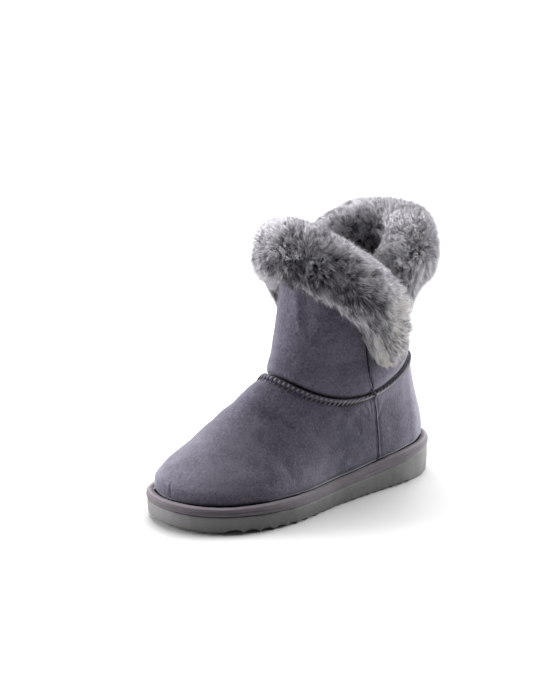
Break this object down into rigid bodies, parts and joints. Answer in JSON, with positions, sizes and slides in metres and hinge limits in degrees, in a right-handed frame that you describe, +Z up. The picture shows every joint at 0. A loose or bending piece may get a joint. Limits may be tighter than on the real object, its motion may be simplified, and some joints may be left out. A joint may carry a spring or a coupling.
{
  "type": "boot slipper",
  "caption": "Pull-on suede boot slipper for the left foot, on a thick flat foam sole, with an overlapping fur cuff turned out at the ankle.",
  "frame": {"origin": "on the floor, under the middle of the sole's length and on its centre line", "axes": "+Z up, toe towards -Y, outer side of the foot towards +X"},
  "size_m": [0.1279, 0.2636, 0.2295],
  "materials": {
    "outsole": "matt foam with a fine skin",
    "midsole_wrap": "matt, finely wrinkled along the band",
    "fleece": "short curly pile",
    "suede": "brushed nap, mottled",
    "fur": "deep pile, dark at the roots and pale at the tips"
  },
  "bodies": {
    "root": {"outsole": "outsole", "midsole": "midsole_wrap", "insole": "fleece", "upper": "suede", "shaft": "suede", "fur_cuff_front": "fur", "fur_cuff_back": "fur"}
  },
  "joints": []
}
